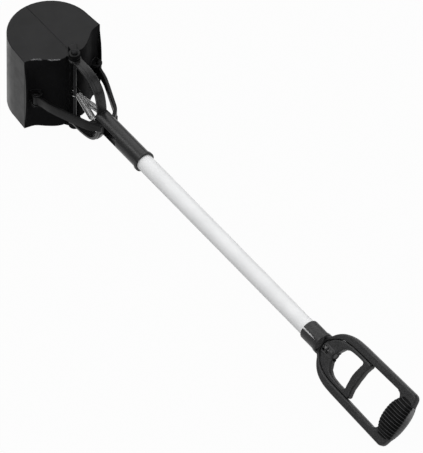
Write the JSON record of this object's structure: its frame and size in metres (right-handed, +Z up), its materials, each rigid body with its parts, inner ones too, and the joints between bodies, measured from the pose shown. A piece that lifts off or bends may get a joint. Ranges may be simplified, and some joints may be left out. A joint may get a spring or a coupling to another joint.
{
  "type": "jaw scooper",
  "caption": "Long-handled pet waste scooper: hinged half-drum jaws, fork and wishbone linkage, tension springs, tube pole, pull rod and D-handle with squeeze trigger",
  "frame": {"origin": "middle of the footprint on the floor, with the tool lying on its hinge knuckle and its grip", "axes": "+X from the jaws to the grip, +Y to the right-hand jaw, +Z up"},
  "size_m": [0.917, 0.1316, 0.1542],
  "materials": {
    "head_plastic": "moulded black, satin",
    "handle_plastic": "moulded black, satin",
    "grip_plastic": "moulded black, ribbed",
    "bush_plastic": "plain",
    "white_tube": "white coated, smooth",
    "pin_steel": "dull",
    "spring_steel": "drawn wire",
    "rod_steel": "bright drawn"
  },
  "bodies": {
    "frame": {"head_fork": "head_plastic", "hinge_pin": "pin_steel", "hinge_retainer": "pin_steel", "head_rivet": "pin_steel", "pole_tube": "white_tube", "rod_guide_front": "bush_plastic", "rod_guide_rear": "bush_plastic", "handle_frame": "handle_plastic", "handle_rivet": "pin_steel", "grip_sleeve": "grip_plastic", "spring_right": "spring_steel", "spring_left": "spring_steel"},
    "drive": {"drive_yoke": "head_plastic", "link_pin_right": "pin_steel", "link_pin_left": "pin_steel", "link_clip_right": "pin_steel", "link_clip_left": "pin_steel", "pull_rod": "rod_steel", "rod_pin": "pin_steel", "trigger": "handle_plastic", "rod_washer": "pin_steel", "rod_nut": "pin_steel"},
    "right_scoop": {"jaw_right": "head_plastic"},
    "left_scoop": {"jaw_left": "head_plastic"}
  },
  "joints": [
    {"name": "trigger_slide", "type": "slide", "parent": "frame", "child": "drive", "axis": [0.9988, 0, -0.0491], "range_m": [0, 0.0314], "stiffness_N_per_m": 350, "springref_m": -0.02, "deforming": ["spring_left", "spring_right"]},
    {"name": "right_jaw_hinge", "type": "hinge", "parent": "frame", "child": "right_scoop", "pos_m": [-0.33509, 0, 0.07296], "axis": [-0.0491, 0, -0.9988], "range_deg": [0, 33]},
    {"name": "left_jaw_hinge", "type": "hinge", "parent": "frame", "child": "left_scoop", "pos_m": [-0.33509, 0, 0.07296], "axis": [0.0491, 0, 0.9988], "range_deg": [0, 33]}
  ],
  "couplings": [
    {"joint": "right_jaw_hinge", "follows": "trigger_slide", "rad_per_m": 17.93},
    {"joint": "left_jaw_hinge", "follows": "trigger_slide", "rad_per_m": 17.93}
  ]
}
